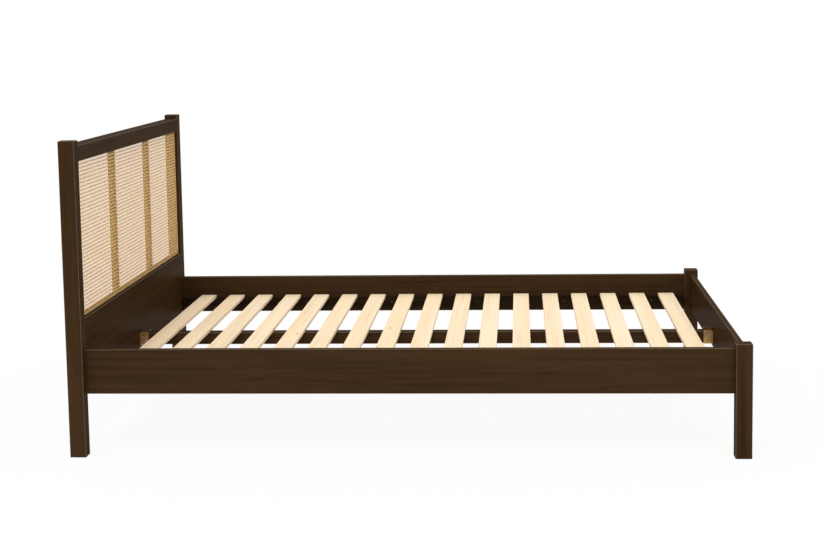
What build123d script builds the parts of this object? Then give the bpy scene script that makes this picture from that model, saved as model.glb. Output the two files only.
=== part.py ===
from build123d import *
import os

os.makedirs("parts", exist_ok=True)

# Bed frame for a 1400 x 2000 mattress, in millimetres.
# The head is at -X, the foot at +X, the floor at Z = 0.
# Left and right are as seen by someone who stands at the foot and looks at the headboard: left is -Y.

# Overall
bed_length = 2100.0
bed_width = 1510.0

# Posts
post_width = 50.0  # along X
post_depth = 48.0  # along Y
head_post_height = 987.0
foot_post_height = 353.0
edge_bevel = 1.5

# Side rails
rail_height = 140.0
rail_thickness = 22.0
rail_bottom = 196.0
rail_recess = 26.0  # outer face of the rail behind the outer face of the posts

# Footboard
footboard_height = 140.0
footboard_thickness = 18.0
footboard_setback = 12.0  # from the outer face of the foot posts

# Headboard
top_rail_height = 50.0
top_rail_drop = 16.0  # top of the rail below the tops of the posts
lower_board_height = 236.0
lower_board_thickness = 26.0
front_lip = 12.0  # wood in front of the cane
cane_thickness = 1.6
cane_tuck = 27.0  # cane hidden behind the lip of the lower board
groove_width = 4.0
groove_depth = 8.0
groove_clearance = 1.0
spline_clearance = 0.2
mullion_width = 50.0
batten_thickness = 12.0
batten_width = 50.0
batten_reveal = 8.0  # batten showing above the lower board
batten_screw_count = 5
batten_screw_length = 21.0
batten_screw_height = 7.0  # above the floor of the rebate
batten_end_gap = 0.5

# Cane web
web_columns = 25
web_rows = 8
web_strand = 14.0

# Slats and what carries them
slat_count = 17
slat_width = 60.0
slat_thickness = 12.0
slat_bevel = 1.2
slat_top = 263.0
slat_head_gap = 79.0
slat_foot_gap = 66.0
slat_end_gap = 3.0
ledger_height = 30.0
ledger_thickness = 24.0
ledger_end_gap = 2.0
ledger_screw_every = 3  # one screw in every third gap between slats
beam_height = 42.0
beam_width = 42.0

# Beam brackets, bent from steel sheet
sheet = 2.0
bracket_length = 32.0
bracket_rise = 4.0  # wings above the top of the beam
bracket_gap = 0.5
bracket_corner = 7.0
plate_drop = 10.0  # back plate below the tops of the wings
plate_screw_heights = (12.0, 27.0)  # above the bottom of the beam
beam_end_gap = 1.5
wing_screw_out = 24.0  # outer screw, from the board
wing_screw_in = 11.0
wing_screw_low = 13.0  # above the bottom of the beam
wing_screw_high = 28.0

# Flat sides that stand in for a round section
small_sides = 6  # dowels, pins, screws, bolts, nuts and their holes
washer_sides = 12  # washers, bolt heads and counterbores

# Dowels and pins
dowel_diameter = 8.0
dowel_length = 40.0
thin_dowel_diameter = 6.0
thin_dowel_length = 30.0
pin_diameter = 6.0
pin_in_slat = 7.0
pin_in_ledger = 14.0
dowel_clearance = 0.2
dowel_end_gap = 1.0
top_rail_dowel_inset = 14.0
top_rail_dowel_setback = 19.0
board_dowel_heights = (40.0, 75.0, 150.0)  # above the bottom of the board
footboard_dowel_heights = (40.0, 75.0, 125.0)

# Bolts, washers and barrel nuts
bolt_diameter = 8.0
bolt_length = 80.0
bolt_head_diameter = 13.0
bolt_head_height = 8.0
bolt_socket = 6.0  # across the flats
bolt_socket_depth = 4.0
bolt_hole_clearance = 0.5
bolt_end_gap = 1.0
bolt_low = 14.0  # above the bottom of the rail
bolt_high = 104.0
counterbore_depth = 10.0
counterbore_clearance = 1.0
washer_diameter = 16.0
washer_thickness = 1.6
nut_diameter = 10.0
nut_length = 14.0
nut_inset = 33.0  # from the end of the rail
nut_clearance = 0.3
nut_thread_clearance = 0.1

# Wood screws
screw_diameter = 4.5
screw_head_diameter = 8.6
screw_length = 38.0
small_screw_diameter = 3.5
small_screw_head_diameter = 6.8
plate_screw_length = 16.0
wing_screw_length = 16.0
wing_screw_head_height = 2.2
screw_clearance = 0.2
screw_end_gap = 0.5
screw_tip = 4.0
screw_point_diameter = 0.8

# Places that follow from these
head_back = -bed_length / 2
head_front = head_back + post_width
foot_front = bed_length / 2
foot_inner = foot_front - post_width
head_post_x = head_back + post_width / 2
foot_post_x = foot_front - post_width / 2
post_y = bed_width / 2 - post_depth / 2
inner_y = bed_width / 2 - post_depth
rail_length = foot_inner - head_front
rail_y = bed_width / 2 - rail_recess - rail_thickness / 2
rail_inner_y = rail_y - rail_thickness / 2
rail_x = (foot_inner + head_front) / 2
footboard_x = foot_front - footboard_setback - footboard_thickness / 2
footboard_inner = footboard_x - footboard_thickness / 2
span = 2 * inner_y

top_rail_bottom = head_post_height - top_rail_drop - top_rail_height
lower_board_top = rail_bottom + lower_board_height
lower_board_x = head_front - lower_board_thickness / 2
lower_board_back = head_front - lower_board_thickness
rebate_depth = lower_board_thickness - front_lip
rebate_floor = lower_board_top + batten_reveal - batten_width
cane_front = head_front - front_lip
cane_back = cane_front - cane_thickness
cane_bottom = lower_board_top - cane_tuck
cane_edge = groove_depth - groove_clearance
cane_top = top_rail_bottom + cane_edge
cane_width = span + 2 * cane_edge
groove_x = cane_front - groove_width / 2
spline_thickness = groove_width - cane_thickness - spline_clearance
spline_x = cane_back - spline_clearance / 2 - spline_thickness / 2
batten_x = cane_back - batten_thickness / 2
batten_top = rebate_floor + batten_width
mullion_bay = (span - 2 * mullion_width) / 3
mullion_y = (mullion_bay + mullion_width) / 2

slat_bottom = slat_top - slat_thickness
slat_first = head_front + slat_head_gap + slat_width / 2
slat_last = footboard_inner - slat_foot_gap - slat_width / 2
slat_pitch = (slat_last - slat_first) / (slat_count - 1)
slat_length = 2 * (rail_inner_y - slat_end_gap)
slat_centres = [slat_first + slat_pitch * number for number in range(slat_count)]
ledger_y = rail_inner_y - ledger_thickness / 2
ledger_mid = slat_bottom - ledger_height / 2
beam_bottom = slat_bottom - beam_height
beam_start = head_front + sheet + beam_end_gap
beam_end = footboard_inner - sheet - beam_end_gap
beam_length = beam_end - beam_start
plate_screws = [(0.0, beam_bottom + height) for height in plate_screw_heights]
wing_screws_head = [
    (head_front + wing_screw_out, beam_bottom + wing_screw_low),
    (head_front + wing_screw_in, beam_bottom + wing_screw_high),
]
wing_screws_foot = [
    (footboard_inner - wing_screw_out, beam_bottom + wing_screw_low),
    (footboard_inner - wing_screw_in, beam_bottom + wing_screw_high),
]
wing_screws = wing_screws_head + wing_screws_foot
ledger_screw_x = [
    (slat_centres[number] + slat_centres[number + 1]) / 2
    for number in range(0, slat_count - 1, ledger_screw_every)
]
ledger_screws = [(x, ledger_mid) for x in ledger_screw_x]
bolt_heights = (rail_bottom + bolt_low, rail_bottom + bolt_high)
rail_bolt_depth = bolt_length + counterbore_depth - washer_thickness - post_width + bolt_end_gap
barrel_nuts = [
    (x, height) for x in (head_front + nut_inset, foot_inner - nut_inset) for height in bolt_heights
]

batten_screw_step = span / batten_screw_count
batten_screws = [
    ((number - (batten_screw_count - 1) / 2) * batten_screw_step, rebate_floor + batten_screw_height)
    for number in range(batten_screw_count)
]
batten_screw_bite = batten_screw_length - batten_thickness - cane_thickness
plate_screw_bite = plate_screw_length - sheet
ledger_screw_bite = screw_length - ledger_thickness
top_rail_dowels = [
    (head_back + top_rail_dowel_setback, top_rail_bottom + top_rail_dowel_inset),
    (head_back + top_rail_dowel_setback, top_rail_bottom + top_rail_height - top_rail_dowel_inset),
]
mullion_dowels = [(batten_x, -mullion_y), (batten_x, mullion_y)]
board_dowels = [(lower_board_x, rail_bottom + height) for height in board_dowel_heights]
footboard_dowels = [(footboard_x, rail_bottom + height) for height in footboard_dowel_heights]


def facing_y(points, y, side):
    """Planes at (x, z) points on a face at this y, whose outward direction is +Y or -Y."""
    return [Plane(origin=(x, y, z), x_dir=(1, 0, 0), z_dir=(0, side, 0)) for x, z in points]


def facing_x(points, x, side):
    """Planes at (y, z) points on a face at this x, whose outward direction is +X or -X."""
    return [Plane(origin=(x, y, z), x_dir=(0, 1, 0), z_dir=(side, 0, 0)) for y, z in points]


def facing_z(points, z, side):
    """Planes at (x, y) points on a face at this z, whose outward direction is +Z or -Z."""
    return [Plane(origin=(x, y, z), x_dir=(1, 0, 0), z_dir=(0, 0, side)) for x, y in points]


def export(block, name):
    """Label the finished piece and write it."""
    block.part.label = name
    export_step(block.part, f"parts/{name}.step")


def faceted(stations, sides):
    """A shaft with this many flat sides through (height, radius) stations along Z."""
    with BuildPart() as shaft:
        for height, radius in stations:
            with BuildSketch(Plane.XY.offset(height)):
                RegularPolygon(radius, sides)
        loft(ruled=True)
    return shaft.part


def blind_hole(diameter, depth, sides):
    """What is cut away by a hole that runs down from Z = 0."""
    return faceted([(0, diameter / 2), (-depth, diameter / 2)], sides)


def sunk_hole(diameter, head_diameter, depth):
    """What is cut away by a countersunk screw hole that runs down from Z = 0."""
    slope = (head_diameter - diameter) / 2
    return faceted([(0, head_diameter / 2), (-slope, diameter / 2), (-depth, diameter / 2)], small_sides)


def countersunk_screw(diameter, head_diameter, length):
    """A countersunk wood screw, its head flush with Z = 0 and its point down."""
    slope = (head_diameter - diameter) / 2
    return faceted(
        [
            (0, head_diameter / 2),
            (-slope, diameter / 2),
            (screw_tip - length, diameter / 2),
            (-length, screw_point_diameter / 2),
        ],
        small_sides,
    )


# Holes, each as the solid that it takes away
dowel_hole = blind_hole(
    dowel_diameter + dowel_clearance, (dowel_length + dowel_end_gap) / 2, small_sides
)
thin_dowel_hole = blind_hole(
    thin_dowel_diameter + dowel_clearance, (thin_dowel_length + dowel_end_gap) / 2, small_sides
)
slat_pin_hole = blind_hole(pin_diameter + dowel_clearance, pin_in_slat + dowel_end_gap / 2, small_sides)
ledger_pin_hole = blind_hole(pin_diameter + dowel_clearance, pin_in_ledger + dowel_end_gap / 2, small_sides)
rail_bolt_hole = blind_hole(bolt_diameter + bolt_hole_clearance, rail_bolt_depth, small_sides)
post_bolt_hole = blind_hole(bolt_diameter + bolt_hole_clearance, post_width, small_sides)
counterbore = blind_hole(washer_diameter + counterbore_clearance, counterbore_depth, washer_sides)
nut_hole = blind_hole(nut_diameter + nut_clearance, (rail_thickness + nut_length) / 2, small_sides)
ledger_pilot_hole = blind_hole(
    screw_diameter + screw_clearance, ledger_screw_bite + screw_end_gap, small_sides
)
batten_pilot_hole = blind_hole(
    small_screw_diameter + screw_clearance, batten_screw_bite + screw_end_gap, small_sides
)
plate_pilot_hole = blind_hole(
    small_screw_diameter + screw_clearance, plate_screw_bite + screw_end_gap, small_sides
)
wing_pilot_hole = blind_hole(
    small_screw_diameter + screw_clearance, wing_screw_length + screw_end_gap, small_sides
)
ledger_screw_hole = sunk_hole(
    screw_diameter + screw_clearance, screw_head_diameter + screw_clearance, ledger_thickness
)
batten_screw_hole = sunk_hole(
    small_screw_diameter + screw_clearance, small_screw_head_diameter + screw_clearance, batten_thickness
)
plate_screw_hole = sunk_hole(
    small_screw_diameter + screw_clearance, small_screw_head_diameter + screw_clearance, sheet
)


# Head post, left: dowel holes, a groove for the cane, two counterbored bolt holes
with BuildPart() as head_post_left:
    with BuildSketch():
        with Locations((head_post_x, -post_y)):
            Rectangle(post_width, post_depth)
    extrude(amount=head_post_height)
    chamfer(head_post_left.edges().filter_by(Axis.Z), length=edge_bevel)
    chamfer(head_post_left.faces().sort_by(Axis.Z)[-1].edges(), length=edge_bevel)
    with BuildSketch(Plane.XY.offset(rebate_floor)):
        with Locations((groove_x, -inner_y - groove_depth / 2)):
            Rectangle(groove_width, groove_depth)
    extrude(amount=cane_top + groove_clearance - rebate_floor, mode=Mode.SUBTRACT)
    with Locations(*facing_y(top_rail_dowels + board_dowels, -inner_y, 1)):
        add(dowel_hole, mode=Mode.SUBTRACT)
    with Locations(*facing_x([(-rail_y, height) for height in bolt_heights], head_back, -1)):
        add(counterbore, mode=Mode.SUBTRACT)
        add(post_bolt_hole, mode=Mode.SUBTRACT)
export(head_post_left, "head_post_left")

with BuildPart() as head_post_right:
    mirror(head_post_left.part, about=Plane.XZ)
export(head_post_right, "head_post_right")

# Foot post, left
with BuildPart() as foot_post_left:
    with BuildSketch():
        with Locations((foot_post_x, -post_y)):
            Rectangle(post_width, post_depth)
    extrude(amount=foot_post_height)
    chamfer(foot_post_left.edges().filter_by(Axis.Z), length=edge_bevel)
    chamfer(foot_post_left.faces().sort_by(Axis.Z)[-1].edges(), length=edge_bevel)
    with Locations(*facing_y(footboard_dowels, -inner_y, 1)):
        add(dowel_hole, mode=Mode.SUBTRACT)
    with Locations(*facing_x([(-rail_y, height) for height in bolt_heights], foot_front, 1)):
        add(counterbore, mode=Mode.SUBTRACT)
        add(post_bolt_hole, mode=Mode.SUBTRACT)
export(foot_post_left, "foot_post_left")

with BuildPart() as foot_post_right:
    mirror(foot_post_left.part, about=Plane.XZ)
export(foot_post_right, "foot_post_right")

# Top rail of the headboard, as thick as the posts, grooved underneath for the cane
with BuildPart() as head_top_rail:
    with BuildSketch(Plane.XY.offset(top_rail_bottom)):
        with Locations((head_post_x, 0)):
            Rectangle(post_width, span)
    extrude(amount=top_rail_height)
    chamfer(head_top_rail.edges().filter_by(Axis.Y), length=edge_bevel)
    with BuildSketch(Plane.XY.offset(top_rail_bottom)):
        with Locations((groove_x, 0)):
            Rectangle(groove_width, span)
    extrude(amount=groove_depth, mode=Mode.SUBTRACT)
    with Locations(*facing_y(top_rail_dowels, -inner_y, -1), *facing_y(top_rail_dowels, inner_y, 1)):
        add(dowel_hole, mode=Mode.SUBTRACT)
    with Locations(*facing_z(mullion_dowels, top_rail_bottom, -1)):
        add(thin_dowel_hole, mode=Mode.SUBTRACT)
export(head_top_rail, "head_top_rail")

# Lower board of the headboard: its rebated back takes the foot of the cane and the batten
with BuildPart() as head_lower_board:
    with BuildSketch(Plane.XY.offset(rail_bottom)):
        with Locations((lower_board_x, 0)):
            Rectangle(lower_board_thickness, span)
    extrude(amount=lower_board_height)
    with BuildSketch(Plane.XY.offset(rebate_floor)):
        with Locations((lower_board_back + rebate_depth / 2, 0)):
            Rectangle(rebate_depth, span)
    extrude(amount=lower_board_height, mode=Mode.SUBTRACT)
    chamfer(head_lower_board.edges().filter_by(Axis.Y).group_by(Axis.X)[-1], length=edge_bevel)
    with Locations(*facing_y(board_dowels, -inner_y, -1), *facing_y(board_dowels, inner_y, 1)):
        add(dowel_hole, mode=Mode.SUBTRACT)
    with Locations(*facing_x(batten_screws, cane_front, -1)):
        add(batten_pilot_hole, mode=Mode.SUBTRACT)
    with Locations(*facing_x(plate_screws, head_front, 1)):
        add(plate_pilot_hole, mode=Mode.SUBTRACT)
export(head_lower_board, "head_lower_board")

# Cane web, a single woven sheet drawn here as a plate with eight-sided gaps
web_margin = cane_edge + web_strand / 2
web_pitch_y = (cane_width - 2 * web_margin) / web_columns
web_pitch_z = (top_rail_bottom - lower_board_top) / web_rows
web_gap_y = web_pitch_y - web_strand
web_gap_z = web_pitch_z - web_strand
web_corner = min(web_gap_y, web_gap_z) / 4

with BuildPart() as cane_panel:
    with BuildSketch(Plane.YZ.offset(cane_back)):
        with Locations((0, (cane_bottom + cane_top) / 2)):
            Rectangle(cane_width, cane_top - cane_bottom)
        with BuildSketch(mode=Mode.PRIVATE) as web_gap:
            Rectangle(web_gap_y, web_gap_z)
            chamfer(web_gap.vertices(), length=web_corner)
        with Locations((0, (lower_board_top + top_rail_bottom) / 2)):
            with GridLocations(web_pitch_y, web_pitch_z, web_columns, web_rows):
                add(web_gap.sketch, mode=Mode.SUBTRACT)
    extrude(amount=cane_thickness)
export(cane_panel, "cane_panel")

# Splines that wedge the cane in its grooves
with BuildPart() as cane_spline_top:
    with BuildSketch(Plane.XY.offset(top_rail_bottom)):
        with Locations((spline_x, 0)):
            Rectangle(spline_thickness, span)
    extrude(amount=cane_edge)
export(cane_spline_top, "cane_spline_top")

for side, name in ((-1, "cane_spline_left"), (1, "cane_spline_right")):
    with BuildPart() as cane_spline:
        with BuildSketch(Plane.XY.offset(batten_top)):
            with Locations((spline_x, side * (inner_y + cane_edge / 2))):
                Rectangle(spline_thickness, cane_edge)
        extrude(amount=top_rail_bottom - batten_top)
    export(cane_spline, name)

# Bottom batten, behind the cane in the rebate of the lower board
with BuildPart() as cane_bottom_batten:
    with BuildSketch(Plane.XY.offset(rebate_floor)):
        with Locations((batten_x, 0)):
            Rectangle(batten_thickness, span - 2 * batten_end_gap)
    extrude(amount=batten_width)
    with Locations(*facing_z(mullion_dowels, batten_top, 1)):
        add(thin_dowel_hole, mode=Mode.SUBTRACT)
    with Locations(*facing_x(batten_screws, batten_x - batten_thickness / 2, -1)):
        add(batten_screw_hole, mode=Mode.SUBTRACT)
export(cane_bottom_batten, "cane_bottom_batten")

# Two upright mullions behind the cane
for place, name in zip(mullion_dowels, ("cane_mullion_left", "cane_mullion_right")):
    with BuildPart() as cane_mullion:
        with BuildSketch(Plane.XY.offset(batten_top)):
            with Locations(place):
                Rectangle(batten_thickness, mullion_width)
        extrude(amount=top_rail_bottom - batten_top)
        with Locations(*facing_z([place], batten_top, -1), *facing_z([place], top_rail_bottom, 1)):
            add(thin_dowel_hole, mode=Mode.SUBTRACT)
    export(cane_mullion, name)

# Side rail, left: a bolt hole and a barrel nut hole twice at each end, pilot holes for the ledger
with BuildPart() as side_rail_left:
    with BuildSketch(Plane.XY.offset(rail_bottom)):
        with Locations((rail_x, -rail_y)):
            Rectangle(rail_length, rail_thickness)
    extrude(amount=rail_height)
    chamfer(side_rail_left.edges().filter_by(Axis.X), length=edge_bevel)
    with Locations(
        *facing_x([(-rail_y, height) for height in bolt_heights], head_front, -1),
        *facing_x([(-rail_y, height) for height in bolt_heights], foot_inner, 1),
    ):
        add(rail_bolt_hole, mode=Mode.SUBTRACT)
    with Locations(*facing_y(barrel_nuts, -rail_inner_y, 1)):
        add(nut_hole, mode=Mode.SUBTRACT)
    with Locations(*facing_y(ledger_screws, -rail_inner_y, 1)):
        add(ledger_pilot_hole, mode=Mode.SUBTRACT)
export(side_rail_left, "side_rail_left")

with BuildPart() as side_rail_right:
    mirror(side_rail_left.part, about=Plane.XZ)
export(side_rail_right, "side_rail_right")

# Slat ledger, left: screwed to the inside of the rail, with one pin for each slat
with BuildPart() as slat_ledger_left:
    with BuildSketch(Plane.XY.offset(slat_bottom - ledger_height)):
        with Locations((rail_x, -ledger_y)):
            Rectangle(rail_length - 2 * ledger_end_gap, ledger_thickness)
    extrude(amount=ledger_height)
    with Locations(*facing_z([(x, -ledger_y) for x in slat_centres], slat_bottom, 1)):
        add(ledger_pin_hole, mode=Mode.SUBTRACT)
    with Locations(*facing_y(ledger_screws, -rail_inner_y + ledger_thickness, 1)):
        add(ledger_screw_hole, mode=Mode.SUBTRACT)
export(slat_ledger_left, "slat_ledger_left")

with BuildPart() as slat_ledger_right:
    mirror(slat_ledger_left.part, about=Plane.XZ)
export(slat_ledger_right, "slat_ledger_right")

# Footboard between the foot posts
with BuildPart() as footboard:
    with BuildSketch(Plane.XY.offset(rail_bottom)):
        with Locations((footboard_x, 0)):
            Rectangle(footboard_thickness, span)
    extrude(amount=footboard_height)
    chamfer(footboard.edges().filter_by(Axis.Y), length=edge_bevel)
    with Locations(*facing_y(footboard_dowels, -inner_y, -1), *facing_y(footboard_dowels, inner_y, 1)):
        add(dowel_hole, mode=Mode.SUBTRACT)
    with Locations(*facing_x(plate_screws, footboard_inner, -1)):
        add(plate_pilot_hole, mode=Mode.SUBTRACT)
export(footboard, "footboard")

# Centre beam, hung between two steel brackets
with BuildPart() as centre_beam:
    with BuildSketch(Plane.YZ.offset(beam_start)):
        with Locations((0, slat_bottom - beam_height / 2)):
            Rectangle(beam_width, beam_height)
    extrude(amount=beam_length)
    chamfer(centre_beam.edges().filter_by(Axis.X), length=edge_bevel)
    with Locations(*facing_y(wing_screws, -beam_width / 2, -1), *facing_y(wing_screws, beam_width / 2, 1)):
        add(wing_pilot_hole, mode=Mode.SUBTRACT)
export(centre_beam, "centre_beam")

# Bracket for the head end of the beam: back plate, floor and two wings from one steel sheet
bracket_inside = beam_width + 2 * bracket_gap
bracket_outside = bracket_inside + 2 * sheet
bracket_bottom = beam_bottom - bracket_gap - sheet
bracket_top = slat_bottom + bracket_rise
plate_top = bracket_top - plate_drop
wing_screw_hole = blind_hole(small_screw_diameter + screw_clearance, bracket_outside, small_sides)
with BuildPart() as beam_bracket_head:
    with BuildSketch(Plane.YZ.offset(head_front)):
        with Locations((0, (bracket_bottom + bracket_top) / 2)):
            Rectangle(bracket_outside, bracket_top - bracket_bottom)
        with Locations((0, (bracket_bottom + sheet + bracket_top) / 2)):
            Rectangle(bracket_inside, bracket_top - bracket_bottom - sheet, mode=Mode.SUBTRACT)
    extrude(amount=bracket_length)
    wing_corners = beam_bracket_head.edges().filter_by(Axis.Y).group_by(Axis.Z)[-1]
    fillet(wing_corners, radius=bracket_corner)
    floor_edges = beam_bracket_head.edges().filter_by(Axis.X).group_by(Axis.Z)[0]
    fillet(floor_edges, radius=sheet)
    with BuildSketch(Plane.YZ.offset(head_front)):
        with Locations((0, (bracket_bottom + sheet + plate_top) / 2)):
            Rectangle(bracket_inside, plate_top - bracket_bottom - sheet)
    extrude(amount=sheet)
    with Locations(*facing_x(plate_screws, head_front + sheet, 1)):
        add(plate_screw_hole, mode=Mode.SUBTRACT)
    with Locations(*facing_y(wing_screws_head, -bracket_outside / 2, -1)):
        add(wing_screw_hole, mode=Mode.SUBTRACT)
export(beam_bracket_head, "beam_bracket_head")

bracket_middle = (head_front + footboard_inner) / 2
with BuildPart() as beam_bracket_foot:
    mirror(beam_bracket_head.part, about=Plane.YZ.offset(bracket_middle))
export(beam_bracket_foot, "beam_bracket_foot")

# Slats, each with a blind hole at each end that drops over a pin
for number, x in enumerate(slat_centres, start=1):
    with BuildPart() as slat:
        with BuildSketch(Plane.XY.offset(slat_bottom)):
            with Locations((x, 0)):
                Rectangle(slat_width, slat_length)
        extrude(amount=slat_thickness)
        chamfer(slat.edges().filter_by(Axis.Y), length=slat_bevel)
        with Locations(*facing_z([(x, -ledger_y), (x, ledger_y)], slat_bottom, -1)):
            add(slat_pin_hole, mode=Mode.SUBTRACT)
    export(slat, f"slat_{number:02d}")

# Pins for the slats
with BuildPart() as slat_pins:
    for side in (-1, 1):
        with BuildSketch(Plane.XY.offset(slat_bottom - pin_in_ledger)):
            with Locations(*[(x, side * ledger_y) for x in slat_centres]):
                RegularPolygon(pin_diameter / 2, small_sides)
        extrude(amount=pin_in_ledger + pin_in_slat)
export(slat_pins, "slat_pins")

# Dowels of the headboard and the footboard
with BuildPart() as headboard_dowels:
    for face_y in (-inner_y, inner_y):
        with BuildSketch(Plane.XZ.offset(-face_y - dowel_length / 2)):
            with Locations(*top_rail_dowels, *board_dowels):
                RegularPolygon(dowel_diameter / 2, small_sides)
        extrude(amount=dowel_length)
export(headboard_dowels, "headboard_dowels")

with BuildPart() as footboard_dowel_set:
    for face_y in (-inner_y, inner_y):
        with BuildSketch(Plane.XZ.offset(-face_y - dowel_length / 2)):
            with Locations(*footboard_dowels):
                RegularPolygon(dowel_diameter / 2, small_sides)
        extrude(amount=dowel_length)
export(footboard_dowel_set, "footboard_dowels")

with BuildPart() as mullion_dowel_set:
    for face_z in (batten_top, top_rail_bottom):
        with BuildSketch(Plane.XY.offset(face_z - thin_dowel_length / 2)):
            with Locations(*mullion_dowels):
                RegularPolygon(thin_dowel_diameter / 2, small_sides)
        extrude(amount=thin_dowel_length)
export(mullion_dowel_set, "mullion_dowels")

# Bolts that draw the rails to the posts, with their washers and barrel nuts
head_bolt_places = facing_x(
    [(side * rail_y, height) for side in (-1, 1) for height in bolt_heights],
    head_back + counterbore_depth,
    -1,
)
foot_bolt_places = facing_x(
    [(side * rail_y, height) for side in (-1, 1) for height in bolt_heights],
    foot_front - counterbore_depth,
    1,
)
with BuildPart() as bolt:
    with BuildSketch(Plane.XY.offset(washer_thickness)):
        RegularPolygon(bolt_head_diameter / 2, washer_sides)
    extrude(amount=bolt_head_height)
    with BuildSketch(Plane.XY.offset(washer_thickness)):
        RegularPolygon(bolt_diameter / 2, small_sides)
    extrude(amount=-bolt_length)
    with BuildSketch(Plane.XY.offset(washer_thickness + bolt_head_height)):
        RegularPolygon(bolt_socket / 2, side_count=6, major_radius=False)
    extrude(amount=-bolt_socket_depth, mode=Mode.SUBTRACT)
with BuildPart() as rail_bolts:
    with Locations(*head_bolt_places, *foot_bolt_places):
        add(bolt.part)
export(rail_bolts, "rail_bolts")

with BuildPart() as washer:
    with BuildSketch():
        RegularPolygon(washer_diameter / 2, washer_sides)
        RegularPolygon((bolt_diameter + bolt_hole_clearance) / 2, small_sides, mode=Mode.SUBTRACT)
    extrude(amount=washer_thickness)
with BuildPart() as bolt_washers:
    with Locations(*head_bolt_places, *foot_bolt_places):
        add(washer.part)
export(bolt_washers, "bolt_washers")

with BuildPart() as nut:
    with BuildSketch(Plane.XY.offset(-nut_length / 2)):
        RegularPolygon(nut_diameter / 2, small_sides)
    extrude(amount=nut_length)
    with BuildSketch(Plane(origin=(-nut_diameter, 0, 0), x_dir=(0, 0, 1), z_dir=(1, 0, 0))):
        RegularPolygon(bolt_diameter / 2 + nut_thread_clearance, small_sides)
    extrude(amount=2 * nut_diameter, mode=Mode.SUBTRACT)
with BuildPart() as barrel_nut_set:
    with Locations(
        *facing_y(barrel_nuts, -rail_y, 1),
        *facing_y(barrel_nuts, rail_y, 1),
    ):
        add(nut.part)
export(barrel_nut_set, "barrel_nuts")

# Wood screws
long_screw = countersunk_screw(screw_diameter, screw_head_diameter, screw_length)
batten_screw = countersunk_screw(small_screw_diameter, small_screw_head_diameter, batten_screw_length)
plate_screw = countersunk_screw(small_screw_diameter, small_screw_head_diameter, plate_screw_length)
wing_screw_shank = faceted(
    [
        (0, small_screw_diameter / 2),
        (screw_tip - wing_screw_length, small_screw_diameter / 2),
        (-wing_screw_length, screw_point_diameter / 2),
    ],
    small_sides,
)
wing_screw_head = faceted(
    [
        (0, small_screw_head_diameter / 2),
        (wing_screw_head_height, (small_screw_head_diameter - wing_screw_head_height) / 2),
    ],
    small_sides,
)
with BuildPart() as wing_screw:
    add(wing_screw_shank)
    add(wing_screw_head)

with BuildPart() as ledger_screw_set:
    with Locations(
        *facing_y(ledger_screws, -rail_inner_y + ledger_thickness, 1),
        *facing_y(ledger_screws, rail_inner_y - ledger_thickness, -1),
    ):
        add(long_screw)
export(ledger_screw_set, "ledger_screws")

with BuildPart() as batten_screw_set:
    with Locations(*facing_x(batten_screws, batten_x - batten_thickness / 2, -1)):
        add(batten_screw)
export(batten_screw_set, "batten_screws")

with BuildPart() as bracket_screws:
    with Locations(
        *facing_x(plate_screws, head_front + sheet, 1),
        *facing_x(plate_screws, footboard_inner - sheet, -1),
    ):
        add(plate_screw)
    with Locations(
        *facing_y(wing_screws, -bracket_outside / 2, -1),
        *facing_y(wing_screws, bracket_outside / 2, 1),
    ):
        add(wing_screw.part)
export(bracket_screws, "bracket_screws")
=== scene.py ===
"""The looks of a bed frame with a woven cane headboard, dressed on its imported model."""

import logging
import math
from dataclasses import dataclass, field
from enum import Enum
from typing import Any, Union

import bmesh
import bpy
from mathutils import Matrix, Vector


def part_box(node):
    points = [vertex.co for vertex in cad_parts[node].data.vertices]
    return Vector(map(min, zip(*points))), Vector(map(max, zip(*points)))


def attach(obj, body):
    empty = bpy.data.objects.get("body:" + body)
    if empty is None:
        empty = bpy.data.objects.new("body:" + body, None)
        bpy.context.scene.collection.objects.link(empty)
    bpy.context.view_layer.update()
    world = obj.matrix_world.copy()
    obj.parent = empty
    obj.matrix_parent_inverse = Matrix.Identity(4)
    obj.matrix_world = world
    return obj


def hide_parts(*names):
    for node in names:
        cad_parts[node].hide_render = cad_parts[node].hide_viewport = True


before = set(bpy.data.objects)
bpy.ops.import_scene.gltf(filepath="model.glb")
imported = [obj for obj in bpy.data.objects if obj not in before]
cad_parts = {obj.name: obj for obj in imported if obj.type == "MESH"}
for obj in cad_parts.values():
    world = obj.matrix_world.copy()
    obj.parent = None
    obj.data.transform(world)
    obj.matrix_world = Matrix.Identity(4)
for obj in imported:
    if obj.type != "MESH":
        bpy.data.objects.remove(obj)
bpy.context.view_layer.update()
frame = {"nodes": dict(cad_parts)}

log = logging.getLogger("bed")

MM = 0.001
IMAGE_WIDTH = 822
IMAGE_HEIGHT = 548
SENSOR_WIDTH = 36.0
BODY = "root"
FLAT_FACING = 0.985
EASED_FACING = 0.90
Colour = tuple[float, float, float]
Scale = tuple[float, float, float]


class Grain(Enum):
    """The axis that the fibres of a timber piece follow."""

    X = (1, 0, 0)
    Y = (0, 1, 0)
    Z = (0, 0, 1)

    def scale(self, along: float, across: float) -> tuple[float, ...]:
        """Give the pattern's scale on each axis.

        Args:
            along: Scale along the fibres.
            across: Scale across the fibres.

        Returns:
            One scale for each of X, Y and Z.
        """
        return tuple(along if part else across for part in self.value)


class Drive(Enum):
    """The recess in the head of a screw or bolt."""

    CROSS = "cross"
    HEX = "hex socket"


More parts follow.
